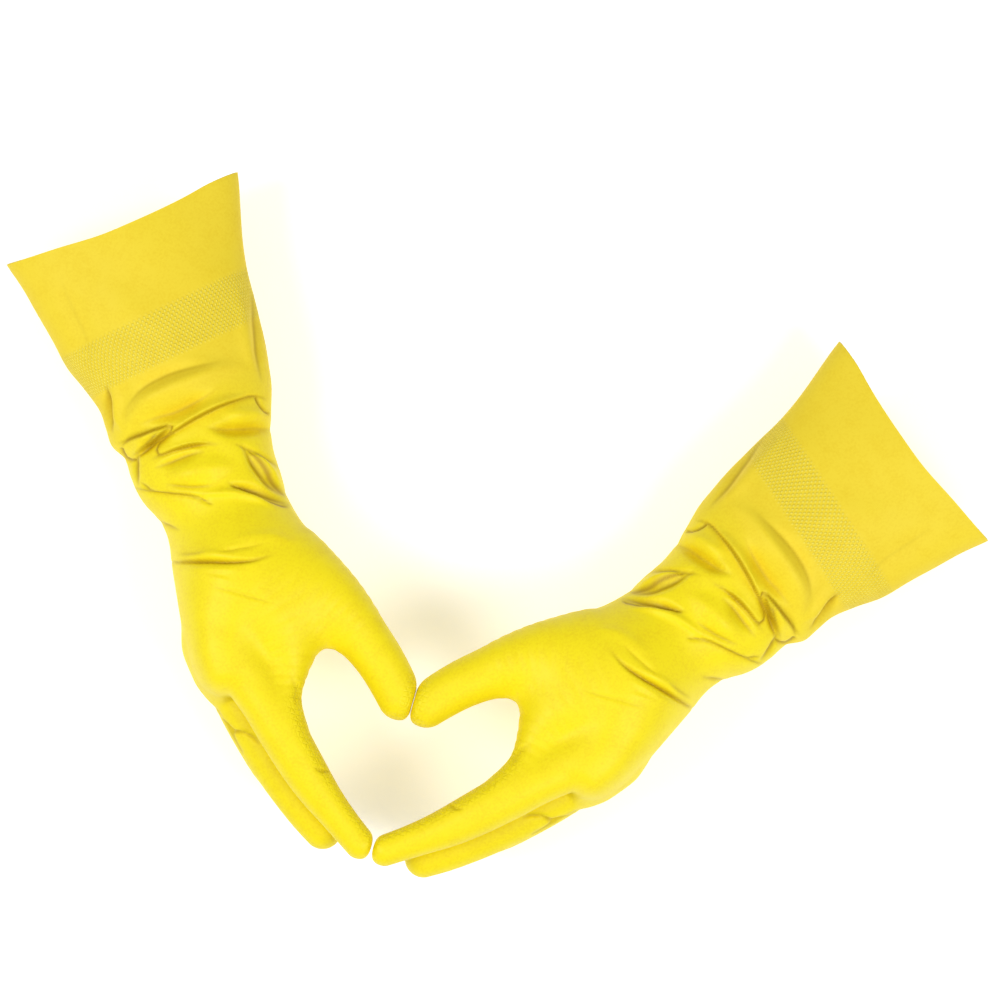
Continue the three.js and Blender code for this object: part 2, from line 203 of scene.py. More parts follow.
@dataclass(frozen=True)
class Sleeve:
    """Cuff, wrist and palm: an oval section carried along the forearm's line.

    Attributes:
        forearm: the line.
        outer_edge: outline on the back of the hand's side, seen from above, in row coordinates.
        inner_edge: outline on the thumb's side.
        heights: half height over along.
        squareness: power of the superellipse over along; 2 is an ellipse.
        swell: added to the half width all along, in mm.
        end_from: where the palm starts to round off towards the fingers.
        end_length: how long that rounding is.
        most_past: the part of the rounding that is used, so that the section never closes.
        mouth: the cuff's cut edge, as along over across.
        centre_gap: keeps the powers away from nought on the centre lines.
    """

    forearm: Forearm = Forearm()
    outer_edge: tuple[Point2, ...] = (
        (-243, 86), (-229, 73), (-220, 65), (-210, 55), (-200, 45), (-190, 35), (-180, 28),
        (-171, 20.5), (-166.5, 13.5), (-162, 7), (-155, 3), (-150, -4), (-145, -10),
        (-139.5, -14.5), (-134, -17.8), (-129, -22), (-124, -29.5), (-121, -37), (-115, -50),
        (-110, -61), (-103.5, -74), (-97, -83), (-90, -90.5), (-84, -97))
    inner_edge: tuple[Point2, ...] = (
        (-148, 155), (-142, 141), (-135, 123), (-130, 110), (-125, 99), (-120, 89.5), (-115, 80.5),
        (-110, 71.5), (-105, 61.5), (-100, 51), (-97.6, 42), (-95.5, 33), (-92, 24), (-87, 16),
        (-82, 7.5), (-77, -2), (-77.5, -15), (-77, -30), (-77, -45), (-76, -58), (-72, -72),
        (-68, -84))
    heights: tuple[Point2, ...] = (
        (-92, 39), (-78, 42.5), (-55, 42.5), (-38, 39.5), (-22, 33.5), (-8, 29.6), (8, 28.2),
        (27, 27.2), (48, 25.6), (72, 24), (100, 22.2), (130, 20.8), (150, 20.2))
    squareness: tuple[Point2, ...] = ((-90, 2.7), (-45, 2.6), (-15, 2.2), (10, 2.0), (150, 2.0))
    swell: float = 0.7
    end_from: float = -76.0
    end_length: float = 14.5
    most_past: float = 0.995
    mouth: tuple[Point2, ...] = (
        (-62, 130), (-56, 129.4), (-33, 128.6), (-10, 128), (3, 129), (29.5, 132.4), (43, 135),
        (53, 136), (60, 136.2))
    centre_gap: float = 1e-6

    def _edge(self, edge: tuple[Point2, ...], along: Array) -> Array:
        """Reads one outline edge as across over along.

        Args:
            edge: the outline's points in row coordinates.
            along: where to read it.
        Returns:
            The edge's across.
        """
        a, c = self.forearm.split(np.array(edge, float))
        order = np.argsort(a)
        return curve_through(along, list(zip(a[order], c[order])))

    def section(self, along: Array) -> tuple[Array, Array, Array, Array]:
        """Works out the oval at each distance.

        Args:
            along: distances from the wrist.
        Returns:
            Middle, half width, half height and superellipse power.
        """
        low, high = self._edge(self.outer_edge, along), self._edge(self.inner_edge, along)
        past = np.clip((self.end_from - along) / self.end_length, 0.0, self.most_past)
        close = np.sqrt(1.0 - past * past)
        half = ((high - low) / 2 + self.swell) * close
        rise = curve_through(along, self.heights) * close
        return (low + high) / 2, half, rise, curve_through(along, self.squareness)

    def field(self, points: Array) -> Array:
        """Is the distance to the oval: (q - 1) over the slope of q, where
        q = (|x/a|^n + |z/b|^n)^(1/n) in the section's own plane.

        Args:
            points: rows of x, y, z in mm.
        Returns:
            Signed distance, negative inside.
        """
        along, across = self.forearm.split(points)
        middle, half, rise, power = self.section(along)
        x = np.abs(across - middle) / half + self.centre_gap
        z = np.abs(points[:, 2] - self.forearm.wrist[2]) / rise + self.centre_gap
        q = (x ** power + z ** power) ** (1.0 / power)
        slope = q ** (1.0 - power) * np.hypot(x ** (power - 1) / half, z ** (power - 1) / rise)
        inside = np.maximum((q - 1.0) / slope, -np.minimum(half, rise))
        return np.maximum(inside, (self.end_from - self.end_length) - along)


@dataclass(frozen=True)
class Tube:
    """A round tube of changing radius carried along a smooth path, with round ends.

    Attributes:
        path: knots of x, y, z and radius, in mm.
        tall: its height as a part of its width.
        spacing: distance between the path's samples, in mm.
    """

    path: tuple[tuple[float, float, float, float], ...]
    tall: float = 1.0
    spacing: float = 5.0

    def field(self, points: Array) -> Array:
        """Is the least, over the path's straight steps, of the distance to the nearest point of
        the step less the radius there. Heights are divided by "tall" first, so it is an oval.

        Args:
            points: rows of x, y, z in mm.
        Returns:
            Signed distance, negative inside.
        """
        line = drawn_through(self.path, self.spacing)
        best = np.full(len(points), FAR_AWAY)
        for near, far in zip(line[:-1], line[1:]):
            step = (far - near)[:3]
            offset = points - near[:3]
            part = np.clip(offset @ step / (step @ step), 0.0, 1.0)
            gap = offset - part[:, None] * step
            gap[:, 2] /= self.tall
            radius = near[3] + part * (far[3] - near[3])
            best = np.minimum(best, np.sqrt((gap * gap).sum(axis=1)) - radius)
        return best

    def near(self, points: Array, margin: float) -> Array:
        """Says which points lie within a margin of the tube's own box.

        Args:
            points: rows of x, y, z in mm.
            margin: how far outside the box still counts.
        Returns:
            A mask of the points.
        """
        path = np.array(self.path)
        reach = path[:, 3:4] * max(1.0, self.tall) + margin
        low, high = (path[:, :3] - reach).min(axis=0), (path[:, :3] + reach).max(axis=0)
        return ((points > low) & (points < high)).all(axis=1)


@dataclass(frozen=True)
class Digit:
    """One digit: its tube, and the two stretches over which the rubber bends.

    Attributes:
        name: the digit's name in the CAD model.
        tube: its shape.
        base: start and end of the bend at the palm, seen from above.
        bend: start and end of the bend at its middle.
        floor: lowest height of its own band of the hand.
        ceiling: highest height of it.
        rear: the y that parts the fingers (below it) from the thumb (above it).
    """

    name: str
    tube: Tube
    base: tuple[Point2, Point2]
    bend: tuple[Point2, Point2]
    floor: float
    ceiling: float
    rear: float = -79.0

    def beyond(self, points: Array, stretch: tuple[Point2, Point2]) -> Array:
        """Says which points lie past the start of a stretch, and in the digit's own band.

        Args:
            points: rows of x, y, z in mm.
            stretch: the bend's start and end.
        Returns:
            A mask of the points.
        """
        start, end = np.array(stretch[0]), np.array(stretch[1])
        past = (points[:, :2] - start) @ (end - start) > 0
        return past & (points[:, 2] > self.floor) & (points[:, 2] <= self.ceiling)


THUMB = Digit(
    "thumb",
    Tube(((-92, -24, 54, 22), (-76, -24, 58, 21.3), (-62, -27.8, 62, 18.4), (-46, -34.4, 64, 15),
          (-38, -39, 65, 13.4), (-30, -44.8, 65.5, 11.9), (-20, -52.6, 66, 11),
          (-11.5, -61, 66, 10.4), (-6.2, -67, 66, 10.1))),
    ((-50, -39), (-35.1, -33.3)), ((-33.7, -32.7), (-20.6, -27.7)), 30, 100)
FINGERS = (
    Digit("index",
          Tube(((-86, -66, 75, 10), (-77, -75, 76.5, 10.2), (-64.5, -85, 77, 10.4),
                (-52.5, -96, 77, 10.6), (-41.5, -106.6, 77, 10.1), (-30, -116.8, 77, 9),
                (-19.5, -124.7, 77, 7.8), (-12, -130, 77, 7.3), (-5.8, -134.2, 77, 7.1)), 1.04),
          ((-60, -93), (-56, -112.6)), ((-34, -114), (-22.8, -122.4)), 65.78, 100),
    Digit("middle",
          Tube(((-94, -68, 55.5, 11), (-86, -77, 55.5, 11), (-74, -90, 55.5, 10.8),
                (-62.7, -101.6, 55.5, 10.5), (-52.2, -111.4, 55.5, 10.3),
                (-42, -120, 55.5, 10), (-32, -128, 55.5, 9.4), (-23.6, -134, 55.5, 8.6)), 0.96),
          ((-76, -92), (-62, -106.2)), ((-52, -112), (-38.9, -121.1)), 44.95, 65.78),
    Digit("ring",
          Tube(((-96, -66, 34.5, 10.8), (-87.5, -76, 34.5, 10.8), (-75.8, -89.6, 34.5, 10.7),
                (-64.4, -101.7, 34.5, 10.4), (-54, -111.9, 34.5, 10), (-45, -118.5, 34.5, 9.6),
                (-37, -124, 34.5, 9), (-31, -128, 34.5, 8.3)), 0.96),
          ((-78, -91.5), (-64, -105.7)), ((-55, -111), (-42, -119)), 23.4, 44.95),
    Digit("little",
          Tube(((-96, -60, 13.6, 9.8), (-88, -69, 13.4, 9.6), (-77, -80.5, 13, 9.4),
                (-67.5, -90.6, 12.6, 9.1), (-58, -99.5, 12.4, 8.7), (-50, -105.5, 12.2, 8.2),
                (-43, -110, 12, 7.6))),
          ((-77, -80), (-65.8, -91.4)), ((-62, -95), (-50.5, -103)), -10, 23.4, -68.0),
)


@dataclass(frozen=True)
class Crease:
    """A fold line in the rubber, drawn as seen from above.

    Attributes:
        line: its points in row coordinates.
        fold: how the rubber lies along it.
        depth: how far it moves the rubber, in mm.
        width: how far to each side it reaches, in mm.
        under: its strength on the lower side of the glove, as a part of that on top.
        seam: half width of the painted shadow line along it, in mm.
        end_width: its width at its ends, as a part of the width.
        lap_drop: width of a lap's sharp side, as a part of the width.
        sharp_width: the widest valley that still shows a full painted shadow line, in mm.
        spacing: distance between the line's samples, in mm.
    """

    line: tuple[Point2, ...]
    fold: Fold
    depth: float
    width: float
    under: float = 0.7
    seam: float = 0.75
    end_width: float = 0.45
    lap_drop: float = 0.2
    sharp_width: float = 1.6
    spacing: float = 3.0

    def press(self, points: Array) -> tuple[Array, Array]:
        """Is depth times a bell exp(-(d/w)^2) of the distance d to the line, downwards for a
        valley; a lap is a step exp(-|d|/w) that stands up on the line's left and drops sharply
        over a fifth of the width on its right. Depth and width ease to nothing at the ends, and
        quickly for a thin line, where rubber lies against rubber. Along all but a ridge, a painted
        shadow line is the same bell over its own width.

        Args:
            points: rows of x, y, z in mm.
        Returns:
            The push outwards in mm, and the painted shadow line, 0 to 1.
        """
        path = drawn_through(self.line, self.spacing)
        reach = self.width * 4 + self.spacing
        flat = points[:, :2]
        near = ((flat > path.min(axis=0) - reach) & (flat < path.max(axis=0) + reach)).all(axis=1)
        distance, side, way = self._beside(flat[near], path)
        ease = smooth(way / self.fold.taper) * smooth((1 - way) / self.fold.taper)
        width = self.width * (self.end_width + (1.0 - self.end_width) * ease)
        bell = np.exp(-((distance / width) ** 2))
        if self.fold is Fold.LAP:
            shape = np.exp(-distance / width) * np.tanh(distance * side / (self.lap_drop * width))
        else:
            shape = bell if self.fold is Fold.RIDGE else -bell
        push, seam = np.zeros(len(points)), np.zeros(len(points))
        push[near] = self.depth * shape * ease
        # Every fold but a ridge gets a painted shadow line, stronger the deeper and sharper it is.
        if self.fold is not Fold.RIDGE:
            sharpness = self.sharp_width / self.width if self.fold is Fold.VALLEY else 1.0
            shown = 2.0 if self.fold is Fold.LINE else 1.0
            strength = min(1.0, abs(self.depth) * shown) * min(1.0, sharpness)
            seam[near] = np.exp(-((distance / self.seam) ** 2)) * np.sqrt(ease) * strength
        return push, seam

    def _beside(self, flat: Array, path: Array) -> tuple[Array, Array, Array]:
        """Finds the nearest place of a path for each point.

        Args:
            flat: rows of x and y.
            path: the path's samples.
        Returns:
            The distance, the side (1 on the left) and how far along the path, 0 to 1.
        """
        steps = len(path) - 1
        best = np.full(len(flat), FAR_AWAY)
        side = np.zeros(len(flat))
        way = np.zeros(len(flat))
        for i in range(steps):
            step = path[i + 1] - path[i]
            offset = flat - path[i]
            part = np.clip(offset @ step / (step @ step), 0.0, 1.0)
            gap = offset - part[:, None] * step
            distance = np.hypot(gap[:, 0], gap[:, 1])
            closer = distance < best
            best = np.where(closer, distance, best)
            side = np.where(closer, np.sign(step[0] * gap[:, 1] - step[1] * gap[:, 0]), side)
            way = np.where(closer, (i + part) / steps, way)
        return best, side, way


CREASES = (
    Crease(((-160, 9), (-157, 20), (-151, 32), (-140, 42), (-125, 53), (-112, 59)), Fold.RIDGE, 1.9, 5.5),
    Crease(((-160, 24), (-155, 35), (-146, 44), (-135, 51), (-124, 57)), Fold.VALLEY, 1.1, 3.2),
    Crease(((-153, 19), (-146, 24.5), (-138, 29.5), (-131, 35.5), (-122, 45)), Fold.VALLEY, 1.9, 3.4),
    Crease(((-160, 8), (-153, 13.5), (-146, 18.5), (-138.5, 24)), Fold.LAP, -1.3, 2.6),
    Crease(((-152.5, 4), (-148, 9), (-144, 14.5), (-139.5, 21), (-137.8, 25)), Fold.LAP, 2.0, 3.0),
    Crease(((-151, 6.5), (-147.5, 11), (-144.5, 16), (-141.5, 19.8)), Fold.VALLEY, 1.9, 1.7),
    Crease(((-142.6, 8.6), (-140.4, 15.3), (-134, 23.1), (-127.4, 30), (-120.4, 36.4), (-113, 41.8),
            (-102, 47)), Fold.LAP, 1.3, 2.4),
    Crease(((-158, 7.3), (-156.2, 10.5), (-149.4, 15.5), (-142.2, 20.6), (-138.6, 22.9), (-137.3, 22.2),
            (-138, 20), (-142.6, 14.4), (-146.5, 8.9), (-150.4, 3.7)), Fold.LINE, 0.55, 0.9, 0.2, 0.6),
    Crease(((-117.2, 21.2), (-126.8, 16.5), (-135.3, 12.1), (-141.4, 8.8), (-142.6, 10.5), (-140.6, 15.3),
            (-134.1, 23.1), (-127.4, 30), (-120.4, 36.4), (-113.2, 41.7), (-104.2, 46.4), (-99.7, 45.9)),
           Fold.LINE, 0.5, 0.9, 0.2, 0.6),
    Crease(((-105, 46.2), (-103, 43.4), (-100, 40.8), (-97, 40)), Fold.LINE, 0.7, 0.9, 0.5, 0.6),
    Crease(((-158, 7.3), (-156.6, 4.8), (-154.2, 2.6), (-149.8, 3.5)), Fold.LINE, 0.7, 0.9, 0.5, 0.6),
    Crease(((-102.2, 22.4), (-95, 18), (-87.1, 11.5), (-80, 6)), Fold.LINE, 0.5, 0.8, 0.5, 0.6),
    Crease(((-105.8, 4.5), (-97.2, 4.8), (-87.9, 3), (-77.5, 1.8)), Fold.LINE, 0.5, 0.8, 0.5, 0.7),
    Crease(((-145.2, -5.2), (-139.6, -7.4), (-130.1, -6.1), (-118.5, -4.6), (-109.8, -6.5)),
           Fold.LINE, 0.4, 0.8, 0.5, 0.45),
    Crease(((-137, 21), (-128, 31.5), (-118, 40), (-108, 46.5)), Fold.RIDGE, 0.8, 2.4),
    Crease(((-90, 33), (-98, 33), (-106, 30.5), (-114, 28), (-124, 26)), Fold.VALLEY, 2.3, 3.0),
    Crease(((-94, 38), (-102, 38.5), (-112, 36), (-119, 34)), Fold.RIDGE, 1.0, 3.2),
    Crease(((-144, 5), (-136, 11.5), (-127, 17.3), (-114, 21)), Fold.LAP, 0.9, 1.8),
    Crease(((-141, 2), (-134, 7), (-128, 11.5), (-120, 16)), Fold.VALLEY, 1.1, 2.4),
    Crease(((-136, -1), (-124, 5), (-113, 11), (-104, 14)), Fold.RIDGE, 1.4, 5.0),
    Crease(((-76, 2), (-84, 4.5), (-93, 5.4), (-108, 5)), Fold.VALLEY, 1.7, 1.9),
    Crease(((-78, 5), (-88, 10), (-97, 16.5), (-107, 25)), Fold.VALLEY, 1.6, 2.1),
    Crease(((-82, 9), (-90, 15.5), (-98, 20.5), (-106, 22.5)), Fold.RIDGE, 0.9, 1.5),
    Crease(((-84, 16), (-92, 20), (-101, 22), (-110, 23)), Fold.VALLEY, 0.7, 1.0),
    Crease(((-150, -8.6), (-141, -8.2), (-130, -6.4), (-120, -5), (-112, -6.5)), Fold.LAP, 0.8, 1.4),
    Crease(((-122, -4.4), (-113, -1.4), (-103, 1.6), (-92, 2), (-80, -1)), Fold.RIDGE, 0.9, 1.8),
    Crease(((-134, -3), (-122, -1), (-112, 2.5)), Fold.VALLEY, 0.6, 1.2),
    Crease(((-150, 8), (-149.5, 2), (-148, -3), (-145, -7.5)), Fold.VALLEY, 0.9, 1.3),
    Crease(((-138, -19), (-131, -20.5), (-121, -21.2)), Fold.VALLEY, 0.6, 0.9),
    Crease(((-126, -38), (-118, -35), (-106, -31), (-94, -27.8), (-85, -24.6), (-77, -19.5)),
           Fold.VALLEY, 1.15, 1.05),
    Crease(((-123, -33), (-114, -30.5), (-104, -27), (-92, -23.8)), Fold.RIDGE, 0.5, 1.7),
    Crease(((-127, -37.6), (-118, -35), (-106, -31), (-95, -28)), Fold.LINE, 0.35, 0.8, 0.5, 0.45),
    Crease(((-102, -42), (-92.8, -40.8), (-81.2, -41), (-69.3, -41.2)), Fold.VALLEY, 0.3, 0.9, 0.2, 0.4),
    Crease(((-114.3, -39.4), (-103.3, -37.4), (-90.1, -36.6)), Fold.RIDGE, 0.3, 1.4, 0.2),
    Crease(((-104.4, -27), (-94.3, -22.1), (-82.5, -16.5)), Fold.VALLEY, 0.35, 1.2, 0.2, 0.4),
    Crease(((-84.5, -96), (-79, -99.4), (-73.6, -101.6), (-69.6, -100.6), (-65.5, -101.6)),
           Fold.LINE, 0.28, 0.8, 0.0, 0.45),
    Crease(((-80, -99.2), (-76, -102.4), (-72, -106.8), (-67, -110.6)), Fold.LINE, 0.2, 0.8, 0.0, 0.45),
    Crease(((-120, -40), (-109, -36), (-99, -33), (-88, -30)), Fold.RIDGE, 0.45, 1.6),
    Crease(((-120, -32), (-113, -29.6), (-107, -27.2)), Fold.VALLEY, 0.4, 0.7),
    Crease(((-98, -18), (-90, -15.5), (-80, -12.5), (-68, -13)), Fold.RIDGE, 0.5, 3.0),
    Crease(((-172, 33), (-169, 27), (-166.5, 19), (-163, 12)), Fold.VALLEY, 1.5, 1.8),
    Crease(((-170, 35), (-166, 28), (-163, 20), (-158, 13.5)), Fold.RIDGE, 1.0, 2.6),
    Crease(((-121, 92), (-116, 80), (-110.5, 66), (-104, 52)), Fold.VALLEY, 0.9, 2.2),
    Crease(((-129, 96), (-122, 80), (-114, 64), (-107, 55)), Fold.RIDGE, 0.7, 3.0),
    Crease(((-190, 80), (-176, 70), (-160, 66), (-146, 60)), Fold.RIDGE, 0.45, 8.0, 0.3),
    Crease(((-205, 74), (-196, 62), (-186, 50), (-180, 38)), Fold.VALLEY, 0.5, 6.0, 0.3),
    Crease(((-84, -96), (-78, -100), (-73, -102.2), (-70.5, -100.8), (-66, -101)),
           Fold.VALLEY, 0.6, 0.9, 0.0),
    Crease(((-80, -99), (-75.5, -102), (-72.5, -106), (-67, -110)), Fold.VALLEY, 0.45, 0.7, 0.0),
    Crease(((-70, -101), (-64, -102), (-60.5, -104.6)), Fold.VALLEY, 0.5, 0.7, 0.0),
    Crease(((-92, -92), (-87, -93.6), (-80, -97.5)), Fold.VALLEY, 0.45, 0.8, 0.2),
    Crease(((-27, -106), (-30.5, -107.4), (-35, -106.6)), Fold.VALLEY, 0.4, 0.8, 0.2),
    Crease(((-56, -70), (-52, -75), (-50, -83)), Fold.VALLEY, 0.3, 2.0, 0.0),
)


@dataclass(frozen=True)
class GloveForm:
    """The left glove's whole shape: the sleeve, the digits, the web and the floor it lies on.

    Attributes:
        sleeve: cuff, wrist and palm.
        web: the skin between thumb and forefinger.
        low: the lattice's lowest corner.
        high: its highest corner.
        cell: the lattice's step.
        coarse: how many steps one rough block has.
        partner_gap: the x that the glove doesn't pass, just short of the other glove.
        floor: the height that it lies on.
        finger_fillet: fillet between the fingers.
        thumb_fillet: fillet between thumb and palm.
        web_fillet: fillet of the web.
        knuckle_fillet: fillet between fingers and palm.
        floor_round: rounding of the edge where it lies.
        tip_round: rounding of the tips' edges against the other glove.
        reach: how far round a tube its field is worked out.
        beyond: what the field is taken to be past that reach.
        slope_step: the step by which slopes are read.
        near_blocks: how many blocks from the surface the lattice is worked out exactly.
    """

    sleeve: Sleeve = Sleeve()
    web: Tube = Tube(((-86, -36, 64, 20), (-69, -49, 68.5, 16.5), (-60, -62, 71.5, 11.6),
                      (-57.5, -72, 74, 8.6), (-55, -81, 76, 6.4), (-51, -90, 77, 4.5)))
    low: Point3 = (-246.0, -148.0, -4.0)
    high: Point3 = (4.0, 160.0, 92.0)
    cell: float = 0.8
    coarse: int = 6
    partner_gap: float = -0.12
    floor: float = 0.3
    finger_fillet: float = 0.6
    thumb_fillet: float = 14.0
    web_fillet: float = 18.0
    knuckle_fillet: float = 8.0
    floor_round: float = 2.5
    tip_round: float = 3.0
    reach: float = 20.0
    beyond: float = 40.0
    slope_step: float = 0.05
    near_blocks: float = 1.25

    def field(self, points: Array) -> Array:
        """Melts the parts together: the fingers with one another, then the thumb, web and sleeve
        with fillets, then cuts them by the floor and the partner's plane with rounded edges.

        Args:
            points: rows of x, y, z in mm.
        Returns:
            Signed distance, negative inside.
        """
        def part(tube: Tube) -> Array:
            """Returns a tube's field, worked out only near the tube."""
            out = np.full(len(points), self.beyond)
            near = tube.near(points, self.reach)
            out[near] = tube.field(points[near])
            return out

        fingers = part(FINGERS[0].tube)
        for digit in FINGERS[1:]:
            fingers = melt(fingers, part(digit.tube), self.finger_fillet)
        body = melt(self.sleeve.field(points), part(THUMB.tube), self.thumb_fillet)
        body = melt(body, part(self.web), self.web_fillet)
        body = melt(body, fingers, self.knuckle_fillet)
        body = -melt(-body, points[:, 2] - self.floor, self.floor_round)
        return -melt(-body, self.partner_gap - points[:, 0], self.tip_round)

    def slope(self, points: Array) -> tuple[Array, Array]:
        """Reads the field and its slope by small steps along the three axes.

        Args:
            points: rows of x, y, z in mm.
        Returns:
            The field and its unit slope.
        """
        value = self.field(points)
        columns = []
        for axis in range(3):
            moved = points.copy()
            moved[:, axis] += self.slope_step
            columns.append((self.field(moved) - value) / self.slope_step)
        return value, np.stack(columns, axis=1)

    def drop(self, points: Array, along: Array | None = None) -> Array:
        """Moves points onto the surface by one step down the field's slope, of the field's value
        over the slope squared.

        Args:
            points: rows of x, y, z in mm.
            along: a unit direction in which they may not move.
        Returns:
            The moved points.
        """
        value, slope = self.slope(points)
        if along is not None:
            slope -= np.outer(slope @ along, along)
        return points - slope * (value / np.maximum((slope * slope).sum(axis=1), LEAST_SLOPE))[:, None]

    def lattice(self) -> Array:
        """Works out the field on a fine lattice, exactly near the surface and coarsely elsewhere.

        Returns:
            The field's values, as an array of three dimensions.
        """
        low, high = np.array(self.low), np.array(self.high)
        block = self.cell * self.coarse
        counts = np.ceil((high - low) / block).astype(int)
        axes = [low[k] + block * (np.arange(counts[k]) + 0.5) for k in range(3)]
        grid = np.stack(np.meshgrid(*axes, indexing="ij"), axis=-1).reshape(-1, 3)
        rough = self.field(grid).reshape(counts)
        value = rough.repeat(self.coarse, 0).repeat(self.coarse, 1).repeat(self.coarse, 2)
        close = np.argwhere(np.abs(rough) < block * self.near_blocks)
        steps = [np.arange(self.coarse)] * 3
        offsets = np.stack(np.meshgrid(*steps, indexing="ij"), axis=-1).reshape(-1, 3)
        nodes = (close[:, None, :] * self.coarse + offsets[None, :, :]).reshape(-1, 3)
        value[tuple(nodes.T)] = self.field(low + nodes * self.cell)
        return value


@dataclass
class Surface:
    """A mesh as whole arrays: points in mm, four-cornered faces and named numbers per point."""

    points: Array
    faces: Array
    normals: Array
    masks: dict[str, Array]

    @staticmethod
    def facing(points: Array, faces: Array) -> Array:
        """Averages each point's face normals: the sum of the crosses of the faces' diagonals.

        Args:
            points: rows of x, y, z.
            faces: rows of four corners.
        Returns:
            Unit normals, one per point.
        """
        one = points[faces[:, 2]] - points[faces[:, 0]]
        two = points[faces[:, 3]] - points[faces[:, 1]]
        cross = np.cross(one, two)
        total = np.zeros_like(points)
        for k in range(3):
            for corner in range(4):
                total[:, k] += np.bincount(faces[:, corner], cross[:, k], len(points))
        return total / np.maximum(np.linalg.norm(total, axis=1, keepdims=True), TINY)

    def taking(self, chosen: Array) -> "Surface":
        """Keeps only some faces, and the points that they use.

        Args:
            chosen: a mask of the faces.
        Returns:
            The smaller surface.
        """
        faces = self.faces[chosen]
        used, index = np.unique(faces, return_inverse=True)
        masks = {name: value[used] for name, value in self.masks.items()}
        return Surface(self.points[used], index.reshape(faces.shape), self.normals[used], masks)

    def mirrored(self) -> "Surface":
        """Returns the surface mirrored in x, with its faces turned to point outwards again."""
        flip = np.array([-1.0, 1.0, 1.0])
        return Surface(self.points * flip, self.faces[:, ::-1], self.normals * flip, self.masks)


@dataclass(frozen=True)
class SkinMesher:
    """Turns the glove's field into a surface of small, even, four-cornered faces."""

    form: GloveForm = GloveForm()
    rounds: int = 3
    ease: float = 0.6

    def net(self, value: Array) -> tuple[Array, Array]:
        """Puts one point in each cell that the surface crosses, at the mean of the crossings of
        its edges, and one face across each lattice edge whose ends lie on different sides.

        Args:
            value: the field on the lattice.
        Returns:
            Points in mm and faces.
        """
        inside = value < 0
        corners = [np.array(c) for c in np.ndindex(2, 2, 2)]
        size = np.array(value.shape) - 1
        total = np.zeros(size, np.int8)
        for i, j, k in corners:
            total += inside[i:i + size[0], j:j + size[1], k:k + size[2]]
        cells = np.argwhere((total > 0) & (total < 8))
        sums, counts = np.zeros((len(cells), 3)), np.zeros(len(cells))
        for a in corners:
            for axis in np.flatnonzero(a == 0):
                b = a.copy()
                b[axis] = 1
                va, vb = value[tuple((cells + a).T)], value[tuple((cells + b).T)]
                cross = (va < 0) != (vb < 0)
                part = np.where(cross, va / np.where(cross, va - vb, 1.0), 0.0)
                point = cells + a + part[:, None] * (b - a)
                sums += point * cross[:, None]
                counts += cross
        number = np.full(size, -1, np.int64)
        number[tuple(cells.T)] = np.arange(len(cells))
        points = np.array(self.form.low) + sums / counts[:, None] * self.form.cell
        return points, self._faces(inside, number, size)

    def _faces(self, inside: Array, number: Array, size: Array) -> Array:
        """Joins the four cells round each crossed lattice edge.

        Args:
            inside: which lattice nodes are inside.
            number: each cell's point.
            size: the lattice's counts of cells.
        Returns:
            Rows of four corners, turned outwards.
        """
        found = []
        for axis in range(3):
            one, two = (axis + 1) % 3, (axis + 2) % 3
            ahead = np.zeros(3, int)
            ahead[axis] = 1
            trimmed = [slice(1, size[k]) for k in range(3)]
            trimmed[axis] = slice(0, size[axis])
            moved = list(trimmed)
            moved[axis] = slice(1, size[axis] + 1)
            here, there = inside[tuple(trimmed)], inside[tuple(moved)]
            start = np.array([s.start for s in trimmed])
            for flag, order in ((here & ~there, 1), (~here & there, -1)):
                edges = np.argwhere(flag) + start
                back_one, back_two = np.zeros(3, int), np.zeros(3, int)
                back_one[one], back_two[two] = 1, 1
                ring = [edges - back_one - back_two, edges - back_two, edges, edges - back_one]
                faces = np.stack([number[tuple(r.T)] for r in ring], axis=1)
                found.append(faces[:, ::order])
        faces = np.concatenate(found)
        return faces[(faces >= 0).all(axis=1)]

    def settle(self, points: Array, faces: Array) -> Array:
        """Evens the points out and puts them back on the surface: each moves towards the mean of
        its neighbours, then down the field's slope.

        Args:
            points: rows of x, y, z in mm.
            faces: rows of four corners.
        Returns:
            The settled points.
        """
        starts = faces.ravel()
        ends = np.roll(faces, -1, axis=1).ravel()
        weight = np.bincount(starts, minlength=len(points)) + np.bincount(ends, minlength=len(points))
        for _ in range(self.rounds):
            mean = np.empty_like(points)
            for k in range(3):
                mean[:, k] = np.bincount(starts, points[ends, k], len(points))
                mean[:, k] += np.bincount(ends, points[starts, k], len(points))
            points = points + self.ease * (mean / weight[:, None] - points)
            points = self.form.drop(points)
        return self.form.drop(points)


